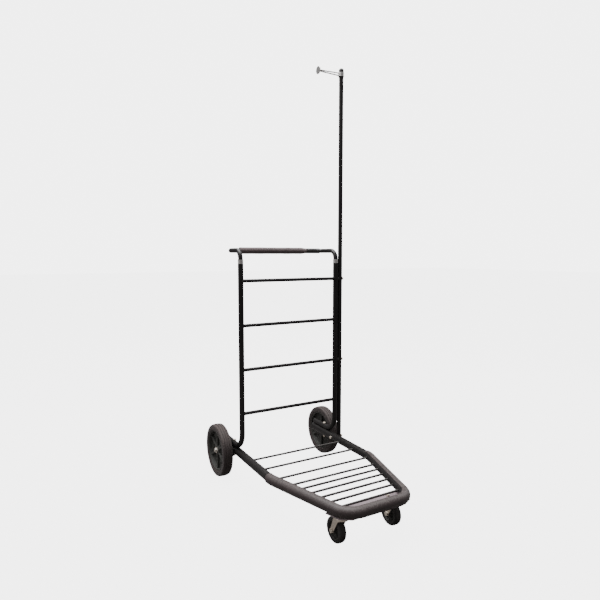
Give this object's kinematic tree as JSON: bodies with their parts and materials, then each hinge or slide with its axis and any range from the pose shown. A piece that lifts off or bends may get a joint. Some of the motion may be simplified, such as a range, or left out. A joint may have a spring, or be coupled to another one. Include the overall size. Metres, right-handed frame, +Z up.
{
  "type": "hotel luggage cart",
  "caption": "Nesting luggage cart: black tube frame with open rod deck, laddered back, push handle, tall garment pole with hook, large fixed wheels and front swivel casters.",
  "frame": {"origin": "on the floor, in the middle of the cart's footprint, half-way between the two rear wheels and half-way between the nose of the bumper and the back of the rear tyres", "axes": "+Z up; the nose and casters point towards -Y, the push handle and rear wheels towards +Y; the garment pole stands on the +X side"},
  "size_m": [0.654, 1.0358, 1.994],
  "materials": {
    "frame_paint": "gloss black enamel",
    "plate_paint": "gloss black enamel on flat sheet",
    "bumper": "satin black extruded vinyl",
    "cap_plastic": "moulded black polyethylene",
    "grip": "matt charcoal foam rubber",
    "sleeve": "satin black vinyl sleeve",
    "zinc": "bright zinc plate",
    "chrome": "bright chrome plate",
    "tyre": "matt black solid rubber",
    "wheel_plastic": "moulded black plastic",
    "caster_tread": "satin black rubber",
    "bearing_steel": "polished steel balls",
    "bush_nylon": "natural nylon"
  },
  "bodies": {
    "frame": {"deck_frame": "frame_paint", "deck_rods": "frame_paint", "left_upright": "frame_paint", "right_upright": "frame_paint", "rung_1": "frame_paint", "rung_2": "frame_paint", "rung_3": "frame_paint", "rung_4": "frame_paint", "handle_loop": "frame_paint", "garment_pole": "frame_paint", "left_axle_plate": "frame_paint", "right_axle_plate": "frame_paint", "nose_plate": "plate_paint", "deck_bumper": "bumper", "deck_end_caps": "cap_plastic", "foot_end_caps": "cap_plastic", "pole_bottom_cap": "cap_plastic", "pole_finial": "cap_plastic", "pole_spacers": "cap_plastic", "handle_grip": "grip", "handle_sleeve": "sleeve", "foot_bolts": "zinc", "pole_bolts": "zinc", "caster_bolts": "zinc", "caster_nuts": "zinc", "left_axle": "zinc", "left_washers": "zinc", "left_hub_nut": "zinc", "left_caster_plate": "zinc", "left_kingpin": "zinc", "right_axle": "zinc", "right_washers": "zinc", "right_hub_nut": "zinc", "right_caster_plate": "zinc", "right_kingpin": "zinc", "handle_ferrules": "chrome", "hook_collar": "chrome", "hook_arm": "chrome", "hook_end_disc": "chrome"},
    "left_wheel": {"left_tyre": "tyre", "left_rim": "wheel_plastic", "left_bushes": "bush_nylon"},
    "left_caster_fork": {"left_fork": "zinc", "left_race_balls": "bearing_steel", "left_caster_axle": "zinc"},
    "left_caster_wheel": {"left_caster_tread": "caster_tread", "left_caster_core": "wheel_plastic"},
    "right_wheel": {"right_tyre": "tyre", "right_rim": "wheel_plastic", "right_bushes": "bush_nylon"},
    "right_caster_fork": {"right_fork": "zinc", "right_race_balls": "bearing_steel", "right_caster_axle": "zinc"},
    "right_caster_wheel": {"right_caster_tread": "caster_tread", "right_caster_core": "wheel_plastic"}
  },
  "joints": [
    {"name": "left_wheel_spin", "type": "hinge", "parent": "frame", "child": "left_wheel", "pos_m": [-0.302, 0.39093, 0.127], "axis": [1, 0, 0], "continuous": true},
    {"name": "left_caster_swivel", "type": "hinge", "parent": "frame", "child": "left_caster_fork", "pos_m": [-0.132, -0.43757, 0.11], "axis": [0, 0, 1], "continuous": true},
    {"name": "left_caster_roll", "type": "hinge", "parent": "left_caster_fork", "child": "left_caster_wheel", "pos_m": [-0.132, -0.39958, 0.0508], "axis": [1, 0, 0], "continuous": true},
    {"name": "right_wheel_spin", "type": "hinge", "parent": "frame", "child": "right_wheel", "pos_m": [0.302, 0.39093, 0.127], "axis": [1, 0, 0], "continuous": true},
    {"name": "right_caster_swivel", "type": "hinge", "parent": "frame", "child": "right_caster_fork", "pos_m": [0.132, -0.43757, 0.11], "axis": [0, 0, 1], "continuous": true},
    {"name": "right_caster_roll", "type": "hinge", "parent": "right_caster_fork", "child": "right_caster_wheel", "pos_m": [0.132, -0.39958, 0.0508], "axis": [1, 0, 0], "continuous": true}
  ]
}
